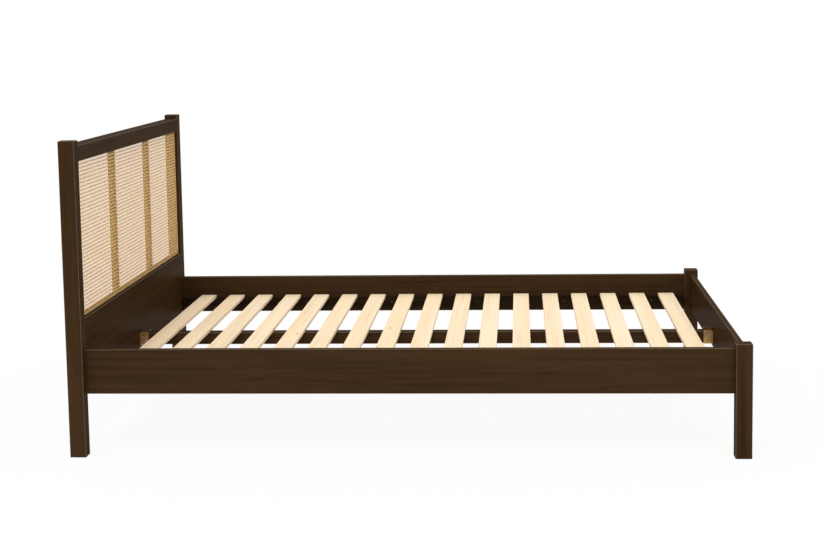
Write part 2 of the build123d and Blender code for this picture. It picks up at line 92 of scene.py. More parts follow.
class Wire:
    """An output socket that adds maths nodes when Python operators are used on it."""

    def __init__(self, graph: "Graph", socket: bpy.types.NodeSocket) -> None:
        """Keep the graph and the socket."""
        self.graph = graph
        self.socket = socket

    def maths(self, operation: str, first: "Value", second: "Value" = 0.0) -> "Wire":
        """Add one Math node.

        Args:
            operation: The node's operation.
            first: Its first value.
            second: Its second value.

        Returns:
            The result.
        """
        return self.graph.node("ShaderNodeMath", {"operation": operation}, {0: first, 1: second})

    def __add__(self, other: "Value") -> "Wire":
        """Add."""
        return self.maths("ADD", self, other)

    __radd__ = __add__

    def __sub__(self, other: "Value") -> "Wire":
        """Subtract."""
        return self.maths("SUBTRACT", self, other)

    def __rsub__(self, other: "Value") -> "Wire":
        """Subtract from a number."""
        return self.maths("SUBTRACT", other, self)

    def __mul__(self, other: "Value") -> "Wire":
        """Multiply."""
        return self.maths("MULTIPLY", self, other)

    __rmul__ = __mul__

    def __abs__(self) -> "Wire":
        """Drop the sign."""
        return self.maths("ABSOLUTE", self)

    def step(self, low: float, high: float) -> "Wire":
        """Rise smoothly from 0 to 1.

        Args:
            low: Where the rise starts; more than high turns it round.
            high: Where it ends.

        Returns:
            A mask from 0 to 1.
        """
        values = {"Value": self, "From Min": min(low, high), "From Max": max(low, high)}
        rise = self.graph.node("ShaderNodeMapRange", {"interpolation_type": "SMOOTHSTEP"}, values)
        return rise if low < high else 1 - rise


Value = Union[Wire, float]


class Graph:
    """Adds nodes to one node tree."""

    def __init__(self, tree: bpy.types.NodeTree) -> None:
        """Keep the tree."""
        self.tree = tree

    def node(
        self,
        kind: str,
        settings: dict[str, Any] | None = None,
        values: dict[str | int, Any] | None = None,
        output: str | int = 0,
    ) -> Wire:
        """Add a node, set it up and join it.

        Args:
            kind: The node's type.
            settings: Its properties; "stops" fills a colour ramp.
            values: A number, a colour or a wire for each of its sockets.
            output: The output to give back.

        Returns:
            That output.
        """
        made = self.tree.nodes.new(kind)
        for name, setting in (settings or {}).items():
            if name == "stops":
                self.fill_ramp(made.color_ramp, setting)
            else:
                setattr(made, name, setting)
        for name, value in (values or {}).items():
            if isinstance(value, Wire):
                self.tree.links.new(value.socket, made.inputs[name])
            else:
                made.inputs[name].default_value = value
        return Wire(self, made.outputs[output])

    @staticmethod
    def fill_ramp(ramp: bpy.types.ColorRamp, stops: list[tuple[float, Colour]]) -> None:
        """Set the stops of a colour ramp.

        Args:
            ramp: The ramp.
            stops: A place and a colour for each stop.
        """
        while len(ramp.elements) < len(stops):
            ramp.elements.new(1.0)
        for element, (place, colour) in zip(ramp.elements, stops):
            element.position = place
            element.color = (*colour, 1)


class Shader(Graph):
    """A material with one Principled surface."""

    def __init__(self, name: str) -> None:
        """Make an empty material.

        Args:
            name: The material's name.
        """
        self.material = bpy.data.materials.new(name)
        self.material.use_nodes = True
        super().__init__(self.material.node_tree)
        self.tree.nodes.clear()
        self.place = self.node("ShaderNodeTexCoord", output="Object")

    def stretched(self, scale: tuple[float, ...], shift: float = 0.0) -> Wire:
        """Scale the object coordinates.

        Args:
            scale: Scale on each axis.
            shift: A move that makes one pattern differ from another.

        Returns:
            The scaled coordinates.
        """
        settings = {"operation": "MULTIPLY_ADD"}
        return self.node("ShaderNodeVectorMath", settings, {0: self.place, 1: scale, 2: (shift,) * 3})

    def noise(self, scale: tuple[float, ...], detail: float = 4.0, shift: float = 0.0) -> Wire:
        """Add a noise pattern.

        Args:
            scale: Scale on each axis, in waves per metre.
            detail: Number of finer layers.
            shift: A move that makes one pattern differ from another.

        Returns:
            The noise, from 0 to 1.
        """
        values = {"Vector": self.stretched(scale, shift), "Scale": 1.0, "Detail": detail, "Roughness": 0.6}
        return self.node("ShaderNodeTexNoise", None, values)

    def mix(self, mask: Value, first: Any, second: Any) -> Wire:
        """Mix two colours.

        Args:
            mask: 0 for the first colour, 1 for the second.
            first: The first colour.
            second: The second colour.

        Returns:
            The mixed colour.
        """
        pair = [colour if isinstance(colour, Wire) else (*colour, 1) for colour in (first, second)]
        settings = {"data_type": "RGBA", "clamp_factor": True}
        return self.node("ShaderNodeMix", settings, {0: mask, 6: pair[0], 7: pair[1]}, output=2)

    def edges(self) -> Wire:
        """Mark the eased edges, whose faces look along no axis.

        Returns:
            1 on an eased edge and 0 on a flat face.
        """
        facing = self.node("ShaderNodeTexCoord", output="Normal")
        split = self.node("ShaderNodeSeparateXYZ", None, {0: facing})
        x, y, z = (abs(Wire(self, out)) for out in split.socket.node.outputs)
        largest = x.maths("MAXIMUM", x.maths("MAXIMUM", x, y), z)
        return largest.step(FLAT_FACING, EASED_FACING)

    def bump(self, height: Wire, distance: float, strength: float = 1.0) -> Wire:
        """Turn a height into a normal.

        Args:
            height: The height, from 0 to 1.
            distance: What a height of 1 stands for, in metres.
            strength: How much of it shows.

        Returns:
            The normal.
        """
        values = {"Height": height, "Distance": distance, "Strength": strength}
        return self.node("ShaderNodeBump", None, values, "Normal")

    def surface(self, values: dict[str, Any]) -> bpy.types.Material:
        """Close the material with its surface.

        Args:
            values: Values or wires for the Principled sockets.

        Returns:
            The material.
        """
        shell = self.node("ShaderNodeBsdfPrincipled", None, values)
        self.node_output(shell)
        return self.material

    def node_output(self, shell: Wire) -> None:
        """Join a shader to the material's output.

        Args:
            shell: The shader.
        """
        output = self.tree.nodes.new("ShaderNodeOutputMaterial")
        self.tree.links.new(shell.socket, output.inputs["Surface"])


@dataclass(frozen=True)
class StainedTimber:
    """Dark stained timber under a satin lacquer, with fine open pores and a painted highlight along its
    eased edges.
    """

    grain: Grain
    dark: Colour = (0.027, 0.0128, 0.0050)
    middle: Colour = (0.042, 0.0212, 0.0082)
    light: Colour = (0.059, 0.0315, 0.0130)
    red: Colour = (0.062, 0.0240, 0.0090)
    # Lighter colour mixed onto every eased edge: a painted edge highlight, made patchy like rubbed wear.
    edge_highlight_and_wear: Colour = (0.150, 0.1100, 0.0680)
    redness: float = 0.35
    shift: float = 0.0
    bands: tuple[float, float] = (0.9, 14)
    streaks: tuple[float, float] = (2.2, 75)
    fibres: tuple[float, float] = (7, 420)
    pore_rows: tuple[float, float] = (22, 900)
    red_bands: tuple[float, float] = (1.3, 28)
    edge_patch_scale: float = 60
    grain_depth: float = 0.00025

    def material(self, name: str) -> bpy.types.Material:
        """Make the finish.

        Args:
            name: The material's name.

        Returns:
            The material.
        """
        shader = Shader(name)
        broad = shader.noise(self.grain.scale(*self.bands), 2, self.shift)
        streak = shader.noise(self.grain.scale(*self.streaks), 5, self.shift + 3)
        fibre = shader.noise(self.grain.scale(*self.fibres), 3, self.shift + 7)
        pores = shader.noise(self.grain.scale(*self.pore_rows), 1, self.shift + 11).step(0.62, 0.72)
        colour = shader.mix(streak.step(0.30, 0.62), self.dark, self.middle)
        colour = shader.mix(broad.step(0.45, 0.75) * 0.6, colour, self.light)
        reddish = shader.noise(self.grain.scale(*self.red_bands), 3, self.shift + 19).step(0.48, 0.72)
        colour = shader.mix(reddish * self.redness, colour, self.red)
        colour = shader.mix(fibre.step(0.35, 0.7) * 0.22, colour, self.light)
        colour = shader.mix(pores * 0.55, colour, self.dark)
        # Painted edge highlight: the eased edges are lightened in patches, standing in for light catching
        # them as well as for wear.
        edge_highlight_and_wear_mask = shader.edges() * (shader.noise((self.edge_patch_scale,) * 3, 3, 5).step(0.25, 0.6) * 0.45 + 0.35)
        colour = shader.mix(edge_highlight_and_wear_mask, colour, self.edge_highlight_and_wear)
        height = fibre * 0.5 + streak * 0.5 - pores * 0.6
        return shader.surface(
            {
                "Base Color": colour,
                "Roughness": 0.40 + 0.16 * fibre + 0.10 * pores,
                "Coat Weight": 0.06,
                "Coat Roughness": 0.30,
                "Specular IOR Level": 0.0,
                "Normal": shader.bump(height, self.grain_depth, 0.55),
            }
        )


@dataclass(frozen=True)
class PlanedSoftwood:
    """Pale planed slats without a finish, each a little unlike the next."""

    pale: Colour = (0.90, 0.745, 0.53)
    warm: Colour = (0.87, 0.665, 0.42)
    line: Colour = (0.70, 0.490, 0.29)
    knot: Colour = (0.42, 0.240, 0.11)
    boards: Scale = (9, 0.4, 3)
    ring_rows: Scale = (110, 1.6, 60)
    fibres: Scale = (900, 14, 900)
    knots: Scale = (9, 2.6, 3)
    grain_depth: float = 0.0002

    def material(self, name: str) -> bpy.types.Material:
        """Make the finish.

        Args:
            name: The material's name.

        Returns:
            The material.
        """
        shader = Shader(name)
        board = shader.noise(self.boards, 1, 2).step(0.35, 0.65)
        rings = shader.noise(self.ring_rows, 4, 8)
        fibre = shader.noise(self.fibres, 2, 13)
        colour = shader.mix(board * 0.6, self.pale, self.warm)
        colour = shader.mix(rings.step(0.5, 0.66) * 0.35, colour, self.line)
        colour = shader.mix(fibre.step(0.5, 0.8) * 0.16, colour, self.line)
        values = {"Vector": shader.stretched(self.knots, 4), "Scale": 1.0}
        spot = shader.node("ShaderNodeTexVoronoi", None, values, "Distance")
        colour = shader.mix(spot.step(0.075, 0.03) * 0.5, colour, self.knot)
        return shader.surface(
            {
                "Base Color": colour,
                "Roughness": 0.62 + 0.14 * fibre,
                "Specular IOR Level": 0.15,
                "Normal": shader.bump(rings * 0.5 + fibre * 0.5, self.grain_depth, 0.5),
            }
        )


@dataclass(frozen=True)
class Rattan:
    """Split rattan or reed: a satin skin that varies along each strand."""

    skin: Colour = (0.80, 0.475, 0.160)
    pale: Colour = (0.88, 0.610, 0.270)
    brown: Colour = (0.45, 0.240, 0.085)
    tones: float = 70
    specks: float = 420
    speck_depth: float = 0.0001

    def material(self, name: str) -> bpy.types.Material:
        """Make the finish.

        Args:
            name: The material's name.

        Returns:
            The material.
        """
        shader = Shader(name)
        tone = shader.noise((self.tones,) * 3, 3, 1)
        speck = shader.noise((self.specks,) * 3, 3, 6)
        colour = shader.mix(tone.step(0.35, 0.68), self.skin, self.pale)
        colour = shader.mix(speck.step(0.56, 0.76) * 0.45, colour, self.brown)
        return shader.surface(
            {
                "Base Color": colour,
                "Roughness": 0.42 + 0.2 * speck,
                "Specular IOR Level": 0.15,
                "Normal": shader.bump(speck, self.speck_depth, 0.6),
            }
        )


@dataclass(frozen=True)
class PlatedSteel:
    """Zinc plated steel, with a colour film where it is yellow passivated."""

    film: tuple[tuple[float, Colour], ...]
    roughness: float = 0.3
    clouds: float = 38.0
    scratches: Scale = (900, 120, 900)
    scratch_depth: float = 0.00005
    bare_edge: Colour = (0.78, 0.76, 0.70)

    def material(self, name: str) -> bpy.types.Material:
        """Make the finish.

        Args:
            name: The material's name.

        Returns:
            The material.
        """
        shader = Shader(name)
        cloud = shader.noise((self.clouds,) * 3, 3, 2)
        scratch = shader.noise(self.scratches, 2, 9)
        ramp = shader.node("ShaderNodeValToRGB", {"stops": list(self.film)}, {0: cloud.step(0.25, 0.75)})
        colour = shader.mix(shader.edges() * 0.4, ramp, self.bare_edge)
        return shader.surface(
            {
                "Base Color": colour,
                "Metallic": 1.0,
                "Roughness": self.roughness + 0.16 * scratch,
                "Normal": shader.bump(scratch, self.scratch_depth, 0.4),
            }
        )


YELLOW_FILM = (
    (0.0, (0.46, 0.24, 0.070)),
    (0.3, (0.62, 0.33, 0.110)),
    (0.5, (0.38, 0.38, 0.140)),
    (0.66, (0.68, 0.28, 0.120)),
    (0.82, (0.46, 0.20, 0.220)),
    (1.0, (0.60, 0.40, 0.160)),
)
# Painted shade: a near-black film for the ledger screws and the barrel nuts, standing in for the shade they
# sit in; their plating is bright zinc like the other fasteners'.
SHADE_DARK_FILM = ((0.0, (0.045, 0.036, 0.028)), (0.5, (0.070, 0.056, 0.044)), (1.0, (0.055, 0.048, 0.042)))
BRIGHT_FILM = ((0.0, (0.72, 0.73, 0.74)), (0.5, (0.86, 0.86, 0.84)), (1.0, (0.78, 0.80, 0.84)))


class Finishes:
    """Every material of the bed, made once."""

    def __init__(self) -> None:
        """Make the materials."""
        self.lengthwise = StainedTimber(Grain.X, redness=0.3, shift=1.7).material("stained_rail")
        # Painted shade: the ledgers' timber is made near black, far darker than the other stained pieces,
        # so that they read as sitting in shade.
        self.ledger = StainedTimber(
            Grain.X,
            dark=(0.008, 0.004, 0.0018),
            middle=(0.014, 0.007, 0.0030),
            light=(0.022, 0.011, 0.0048),
            red=(0.022, 0.009, 0.0036),
            shift=6.3,
        ).material("shade_darkened_ledger")
        self.crosswise = StainedTimber(Grain.Y).material("stained_board")
        self.upright = StainedTimber(Grain.Z, redness=0.5, shift=4.1).material("stained_post")
        self.softwood = PlanedSoftwood().material("planed_softwood")
        self.cane = Rattan().material("woven_cane")
        self.reed = Rattan(skin=(0.62, 0.44, 0.26), pale=(0.72, 0.56, 0.36)).material("reed_spline")
        self.beech = Rattan(skin=(0.68, 0.50, 0.31), pale=(0.76, 0.60, 0.41)).material("beech_dowel")
        self.yellow_steel = PlatedSteel(YELLOW_FILM).material("yellow_passivated_steel")
        self.zinc = PlatedSteel(BRIGHT_FILM, roughness=0.36, clouds=160.0).material("bright_zinc")
        # Near-black steel: painted shade for the fasteners that sit in shade.
        self.shade_darkened_steel = PlatedSteel(SHADE_DARK_FILM, roughness=0.48, clouds=160.0).material("shade_darkened_steel")


class Pattern(Graph):
    """A Geometry Nodes tree with named inputs that ends as a plain mesh."""

    def __init__(self, name: str, base: bpy.types.Mesh | None = None) -> None:
        """Start an empty tree.

        Args:
            name: The piece's name.
            base: A mesh that the tree starts from.
        """
        self.name = name
        super().__init__(bpy.data.node_groups.new(name, "GeometryNodeTree"))
        faces = self.tree.interface
        faces.new_socket("Geometry", in_out="INPUT", socket_type="NodeSocketGeometry")
        faces.new_socket("Geometry", in_out="OUTPUT", socket_type="NodeSocketGeometry")
        self.group = self.tree.nodes.new("NodeGroupInput")
        self.base = base or bpy.data.meshes.new(name + "_base")
        self.given: dict[str, Any] = {}

    def start(self) -> Wire:
        """Give the mesh that the tree starts from."""
        return Wire(self, self.group.outputs["Geometry"])

    def size(self, name: str, value: Any, kind: str = "Float") -> Wire:
        """Add a named input.

        Args:
            name: The input's name.
            value: Its value.
            kind: The kind of its socket.

        Returns:
            The input.
        """
        item = self.tree.interface.new_socket(name, in_out="INPUT", socket_type="NodeSocket" + kind)
        self.given[item.identifier] = value
        return Wire(self, self.group.outputs[name])

    def moved(self, geometry: Wire, offset: Any) -> Wire:
        """Move geometry.

        Args:
            geometry: What moves.
            offset: How far.

        Returns:
            The moved geometry.
        """
        return self.node("GeometryNodeTransform", None, {"Geometry": geometry, "Translation": offset})

    def raised(self, geometry: Wire, height: Value) -> Wire:
        """Move geometry along Z."""
        return self.moved(geometry, self.node("ShaderNodeCombineXYZ", None, {"Z": height}))

    def joined(self, *parts: Wire) -> Wire:
        """Join geometries.

        Args:
            parts: What is joined.

        Returns:
            All of them as one.
        """
        result = self.node("GeometryNodeJoinGeometry")
        for part in parts:
            self.tree.links.new(part.socket, result.socket.node.inputs[0])
        return result

    def cut(self, body: Wire, cutter: Wire) -> Wire:
        """Cut one mesh out of another.

        Args:
            body: What is cut.
            cutter: What is taken away.

        Returns:
            The cut mesh.
        """
        settings = {"operation": "DIFFERENCE"}
        return self.node("GeometryNodeMeshBoolean", settings, {"Mesh 1": body, "Mesh 2": cutter})

    def finish(self, geometry: Wire, material: bpy.types.Material) -> bpy.types.Object:
        """Dress the result and turn it into a plain mesh.

        Args:
            geometry: The tree's result.
            material: Its finish.

        Returns:
            The piece.
        """
        finish = self.size("Finish", material, "Material")
        real = self.node("GeometryNodeRealizeInstances", None, {0: geometry})
        dressed = self.node("GeometryNodeSetMaterial", None, {"Geometry": real, "Material": finish})
        output = self.tree.nodes.new("NodeGroupOutput")
        self.tree.links.new(dressed.socket, output.inputs[0])
        holder = bpy.data.objects.new(self.name + "_holder", self.base)
        bpy.context.scene.collection.objects.link(holder)
        modifier = holder.modifiers.new("pattern", "NODES")
        modifier.node_group = self.tree
        for identifier, value in self.given.items():
            modifier[identifier] = value
        depsgraph = bpy.context.evaluated_depsgraph_get()
        mesh = bpy.data.meshes.new_from_object(holder.evaluated_get(depsgraph), depsgraph=depsgraph)
        holder.modifiers.remove(modifier)
        bpy.data.objects.remove(holder)
        mesh.name = self.name
        piece = bpy.data.objects.new(self.name, mesh)
        bpy.context.scene.collection.objects.link(piece)
        return piece


def declare(piece: bpy.types.Object, slot: str, *nodes: str) -> None:
    """Attach a piece to the body, hide the CAD nodes that it replaces and log its slot.

    Args:
        piece: The piece.
        slot: The record's slot of its finish.
        nodes: The CAD nodes that it replaces.
    """
    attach(piece, BODY)
    if nodes:
        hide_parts(*nodes)
    faces = len(piece.data.polygons)
    log.info("%s: %d faces, slot %s, replaces %s", piece.name, faces, slot, ", ".join(nodes))


def dress(material: bpy.types.Material, *nodes: str) -> None:
    """Give CAD nodes a finish.

    Args:
        material: The finish.
        nodes: The nodes' names.
    """
    for name in nodes:
        node = bpy.data.objects[name]
        for slot in node.material_slots:
            slot.material = material
        log.info("%s: %s", name, material.name)


@dataclass
class Timber:
    """The stained pieces, which keep their CAD shapes."""

    uprights: tuple[str, ...] = (
        "head_post_left",
        "head_post_right",
        "foot_post_left",
        "foot_post_right",
        "cane_mullion_left",
        "cane_mullion_right",
    )
    boards: tuple[str, ...] = ("head_top_rail", "head_lower_board", "footboard", "cane_bottom_batten")
    rails: tuple[str, ...] = ("side_rail_left", "side_rail_right", "centre_beam")
    ledgers: tuple[str, ...] = ("slat_ledger_left", "slat_ledger_right")

    def dress(self, finishes: Finishes) -> None:
        """Dress each piece with the grain along its length.

        Args:
            finishes: The bed's materials.
        """
        dress(finishes.upright, *self.uprights)
        dress(finishes.crosswise, *self.boards)
        dress(finishes.lengthwise, *self.rails)
        # The ledgers take the near-black timber, which is painted shade.
        dress(finishes.ledger, *self.ledgers)


@dataclass
class CaneWeb:
    """The woven web: pairs of uprights, pairs of crosswise strands and two diagonals."""

    pitch: float = 11.8 * MM
    pair_gap: float = 2.4 * MM
    strand_width: float = 1.1 * MM
    crosswise_width: float = 1.8 * MM
    strand_thickness: float = 0.22 * MM
    wave_depth: float = 0.5 * MM
    steps_per_pitch: int = 2
    low: Vector = field(default_factory=lambda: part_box("cane_panel")[0])
    high: Vector = field(default_factory=lambda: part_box("cane_panel")[1])

    def strands(
        self,
        name: str,
        start: Vector,
        step: Vector,
        count: int,
        run: Vector,
        gap: Vector,
        wave: Scale,
        width: float,
    ) -> tuple[Pattern, Wire]:
        """Weave one set of parallel strands.

        Args:
            name: The piece's name.
            start: Where the first strand starts.
            step: From one strand to the next.
            count: How many strands, or pairs of strands.
            run: From a strand's start to its end.
            gap: From one strand of a pair to the other.
            wave: Waves per metre on each axis.
            width: Width of a strand.

        Returns:
            The tree and its last geometry.
        """
        web = Pattern(name)
        points = max(abs(part) for part in run) / self.pitch * self.steps_per_pitch
        rows = [start - gap / 2, start + gap / 2] if gap.length else [start]
        step_wire = web.size("Step", tuple(step), "Vector")
        count_wire = web.size("Count", count, "Int")
        lines = []
        for number, place in enumerate(rows):
            origin = web.size(f"Start {number + 1}", tuple(place), "Vector")
            values = {"Count": count_wire, "Start Location": origin, "Offset": step_wire}
            lines.append(web.node("GeometryNodeMeshLine", None, values))
        end = web.size("Run", tuple(run), "Vector")
        path = web.node("GeometryNodeCurvePrimitiveLine", None, {"End": end})
        path = web.node("GeometryNodeResampleCurve", None, {"Curve": path, "Count": round(points) + 1})
        values = {"Points": web.joined(*lines), "Instance": path}
        placed = web.node("GeometryNodeInstanceOnPoints", None, values)
        real = web.node("GeometryNodeRealizeInstances", None, {0: placed})
        place = web.node("GeometryNodeInputPosition")
        across = Wire(web, web.node("ShaderNodeSeparateXYZ", None, {0: place}).socket.node.outputs["Y"])
        edge = web.size("Half Width", self.high.y)
        outside = web.node("FunctionNodeCompare", {"operation": "GREATER_THAN"}, {0: abs(across), 1: edge})
        kept = web.node("GeometryNodeDeleteGeometry", {"domain": "POINT"}, {0: real, 1: outside})
        section = web.node(
            "GeometryNodeCurvePrimitiveQuadrilateral",
            None,
            {
                "Width": web.size("Strand Thickness", self.strand_thickness),
                "Height": web.size("Strand Width", width),
            },
        )
        values = {"Curve": kept, "Profile Curve": section, "Fill Caps": True}
        mesh = web.node("GeometryNodeCurveToMesh", None, values)
        settings = {"operation": "DOT_PRODUCT"}
        turns = web.node("ShaderNodeVectorMath", settings, {0: place, 1: wave}, "Value")
        swing = turns.maths("COSINE", turns * math.tau) * web.size("Wave Depth", self.wave_depth)
        offset = web.node("ShaderNodeCombineXYZ", None, {"X": swing})
        return web, web.node("GeometryNodeSetPosition", None, {"Geometry": mesh, "Offset": offset})

    def build(self, finishes: Finishes) -> None:
        """Weave the web in four pieces.

        Args:
            finishes: The bed's materials.
        """
        middle = (self.low.x + self.high.x) / 2
        height = self.high.z - self.low.z
        width = self.high.y - self.low.y
        rows = int(height / self.pitch)
        columns = int(width / self.pitch)
        rise = rows * self.pitch
        foot = self.low.z + (height - rise) / 2
        side = -columns * self.pitch / 2
        none = Vector((0, 0, 0))
        turn = 1 / self.pitch
        y, z = Vector((0, self.pitch, 0)), Vector((0, 0, self.pitch))
        y_pair, z_pair = Vector((0, self.pair_gap, 0)), Vector((0, 0, self.pair_gap))
        corner = Vector((middle, side, foot))
        both = columns + rows
        sets = {
            "cane_uprights": (corner + y / 2, y, columns, z * rows, y_pair, (0, turn / 2, turn)),
            "cane_crosswise": (corner + z / 2, z, rows, y * columns, z_pair, (0, turn, turn / 2)),
            "cane_diagonal_up": (corner + y / 2 - y * rows, y, both, (y + z) * rows, none, (0, turn, 0)),
            "cane_diagonal_down": (corner + y / 2, y, both, (z - y) * rows, none, (0, 0, turn)),
        }
        for name, (start, step, count, run, gap, wave) in sets.items():
            strand = self.crosswise_width if name == "cane_crosswise" else self.strand_width
            web, woven = self.strands(name, start, step, count, run, gap, wave, strand)
            declare(web.finish(woven, finishes.cane), "cane", "cane_panel")


def is_slat(name: str) -> bool:
    """Tell whether a node is a slat."""
    return name.startswith("slat_") and name.removeprefix("slat_").isdigit()


@dataclass
class SlatDeck:
    """The slats, each a board with softly rounded long edges."""

    edge_radius: float = 1.6 * MM
    edge_steps: int = 4
    nodes: list[str] = field(default_factory=lambda: sorted(filter(is_slat, frame["nodes"])))

    def build(self, finishes: Finishes) -> None:
        """Lay the slats.

        Args:
            finishes: The bed's materials.
        """
        low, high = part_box(self.nodes[0])
        last_low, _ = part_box(self.nodes[-1])
        count = len(self.nodes)
        deck = Pattern("slats")
        width = deck.size("Width", high.x - low.x)
        thickness = deck.size("Thickness", high.z - low.z)
        values = {"Width": width, "Height": thickness}
        section = deck.node("GeometryNodeCurvePrimitiveQuadrilateral", None, values)
        radius = deck.size("Edge Radius", self.edge_radius)
        values = {"Curve": section, "Radius": radius, "Count": self.edge_steps}
        section = deck.node("GeometryNodeFilletCurve", {"mode": "POLY"}, values)
        run = deck.size("Run", (0.0, high.y - low.y, 0.0), "Vector")
        path = deck.node("GeometryNodeCurvePrimitiveLine", None, {"End": run})
        values = {"Curve": path, "Profile Curve": section, "Fill Caps": True}
        board = deck.node("GeometryNodeCurveToMesh", None, values)
        start = deck.size("Start", ((low.x + high.x) / 2, low.y, (low.z + high.z) / 2), "Vector")
        step = deck.size("Step", ((last_low.x - low.x) / (count - 1), 0.0, 0.0), "Vector")
        values = {"Count": deck.size("Count", count, "Int"), "Start Location": start, "Offset": step}
        places = deck.node("GeometryNodeMeshLine", None, values)
        laid = deck.node("GeometryNodeInstanceOnPoints", None, {"Points": places, "Instance": board})
        declare(deck.finish(laid, finishes.softwood), "slat_wood", *self.nodes)


@dataclass(frozen=True)
class Seat:
    """Where one screw or bolt sits: the middle of its head's outer face and where it looks."""

    place: Vector
    facing: Vector
    length: float
    head_radius: float


def seats(node: str) -> list[Seat]:
    """Find the screws of a CAD node.

    Args:
        node: The node's name.

    Returns:
        One seat for each separate screw.
    """
    shape = bmesh.new()
    shape.from_mesh(bpy.data.objects[node].data)
    bmesh.ops.remove_doubles(shape, verts=shape.verts, dist=1e-6)
    found = []
    seen = set()
    for first in shape.verts:
        if first in seen:
            continue
        seen.add(first)
        queue = [first]
        island = []
        while queue:
            vertex = queue.pop()
            island.append(vertex.co.copy())
            for edge in vertex.link_edges:
                other = edge.other_vert(vertex)
                if other not in seen:
                    seen.add(other)
                    queue.append(other)
        found.append(seat(island))
    shape.free()
    return found


def seat(points: list[Vector]) -> Seat:
    """Measure one screw from its corners: its axis is its longest side, its head the wider end.

    Args:
        points: The corners.

    Returns:
        The screw's seat.
    """
    low = Vector(map(min, *points))
    high = Vector(map(max, *points))
    axis = max(range(3), key=lambda number: high[number] - low[number])
    middle = (low + high) / 2
    ends = []
    for end in (low, high):
        near = [point for point in points if abs(point[axis] - end[axis]) < 1e-5]
        flat = [Vector(point) - middle for point in near]
        for offset in flat:
            offset[axis] = 0
        ends.append(max(offset.length for offset in flat))
    side = -1 if ends[0] > ends[1] else 1
    facing = Vector((0, 0, 0))
    facing[axis] = side
    place = middle.copy()
    place[axis] = low[axis] if side < 0 else high[axis]
    return Seat(place, facing, high[axis] - low[axis], max(ends))


@dataclass
class Fasteners:
    """A set of like screws or bolts, with the recess that turns them."""

    node: str
    drive: Drive
    shank_radius: float
    head_height: float
    recess_size: float
    recess_depth: float
    pan_head: bool = False
    pan_top: float = 0.7
    point: float = 0.25
    arm_width: float = 0.24
    sides: int = 24

    def build(self, material: bpy.types.Material) -> None:
        """Set each screw where the CAD model has it.

        Args:
            material: Their finish.
        """
        by_length: dict[int, list[Seat]] = {}
        for found in seats(self.node):
            by_length.setdefault(round(found.length / MM), []).append(found)
        for length, group in by_length.items():
            name = f"{self.node}_{length}" if len(by_length) > 1 else self.node + "_set"
            declare(self.group(name, group, material), "fastener_steel", self.node)

    def group(self, name: str, places: list[Seat], material: bpy.types.Material) -> bpy.types.Object:
        """Make the screws of one length.

        Args:
            name: The piece's name.
            places: Where they sit.
            material: Their finish.

        Returns:
            The piece.
        """
        base = bpy.data.meshes.new(name + "_places")
        base.from_pydata([found.place for found in places], [], [])
        facing = base.attributes.new("facing", "FLOAT_VECTOR", "POINT")
        for item, found in zip(facing.data, places):
            item.vector = found.facing
        rows = Pattern(name, base)
        length = rows.size("Length", places[0].length)
        head_radius = rows.size("Head Radius", places[0].head_radius)
        shank = rows.size("Shank Radius", self.shank_radius)
        head_height = rows.size("Head Height", self.head_height)
        cone = self.drive is Drive.CROSS
        under = shank if cone else head_radius
        top = head_radius
        if self.pan_head and places[0].facing.y:
            top, under = head_radius * self.pan_top, head_radius
        head = {"Vertices": self.sides, "Radius Top": top, "Radius Bottom": under, "Depth": head_height}
        head = rows.raised(rows.node("GeometryNodeMeshCone", None, head), head_height * -1)
        head = rows.cut(head, self.recess(rows))
        tip = shank * self.point if cone else shank
        rest = length - head_height
        body = {"Vertices": self.sides, "Radius Top": shank, "Radius Bottom": tip, "Depth": rest}
        body = rows.raised(rows.node("GeometryNodeMeshCone", None, body), length * -1)
        settings = {"data_type": "FLOAT_VECTOR"}
        look = rows.node("GeometryNodeInputNamedAttribute", settings, {"Name": "facing"})
        turn = rows.node("FunctionNodeAlignRotationToVector", {"axis": "Z"}, {"Vector": look})
        values = {"Points": rows.start(), "Instance": rows.joined(head, body), "Rotation": turn}
        return rows.finish(rows.node("GeometryNodeInstanceOnPoints", None, values), material)

    def recess(self, rows: Pattern) -> Wire:
        """Make what is cut out of a head.

        Args:
            rows: The tree.

        Returns:
            The cutter, centred on the head's outer face.
        """
        size = rows.size("Recess Size", self.recess_size)
        depth = rows.size("Recess Depth", self.recess_depth) * 2
        if self.drive is Drive.HEX:
            values = {"Vertices": 6, "Radius": size, "Depth": depth}
            return rows.node("GeometryNodeMeshCylinder", None, values)
        arms = []
        for x, y in ((1.0, self.arm_width), (self.arm_width, 1.0)):
            box = rows.node("ShaderNodeCombineXYZ", None, {"X": size * x, "Y": size * y, "Z": depth})
            arms.append(rows.node("GeometryNodeMeshCube", None, {"Size": box}))
        return rows.node("GeometryNodeMeshBoolean", {"operation": "UNION"}, {"Mesh 2": rows.joined(*arms)})


@dataclass
class SmallParts:
    """The brackets, the washers and what is hidden in the wood, which keep their CAD shapes."""

    brackets: tuple[str, ...] = ("beam_bracket_head", "beam_bracket_foot")
    washers: tuple[str, ...] = ("bolt_washers",)
    nuts: tuple[str, ...] = ("barrel_nuts",)
    dowels: tuple[str, ...] = ("headboard_dowels", "footboard_dowels", "mullion_dowels", "slat_pins")
    splines: tuple[str, ...] = ("cane_spline_top", "cane_spline_left", "cane_spline_right")

    def dress(self, finishes: Finishes) -> None:
        """Dress each group with its own finish.

        Args:
            finishes: The bed's materials.
        """
        dress(finishes.yellow_steel, *self.brackets)
        dress(finishes.zinc, *self.washers)
        # The barrel nuts are made near black as painted shade.
        dress(finishes.shade_darkened_steel, *self.nuts)
        dress(finishes.beech, *self.dowels)
        dress(finishes.reed, *self.splines)


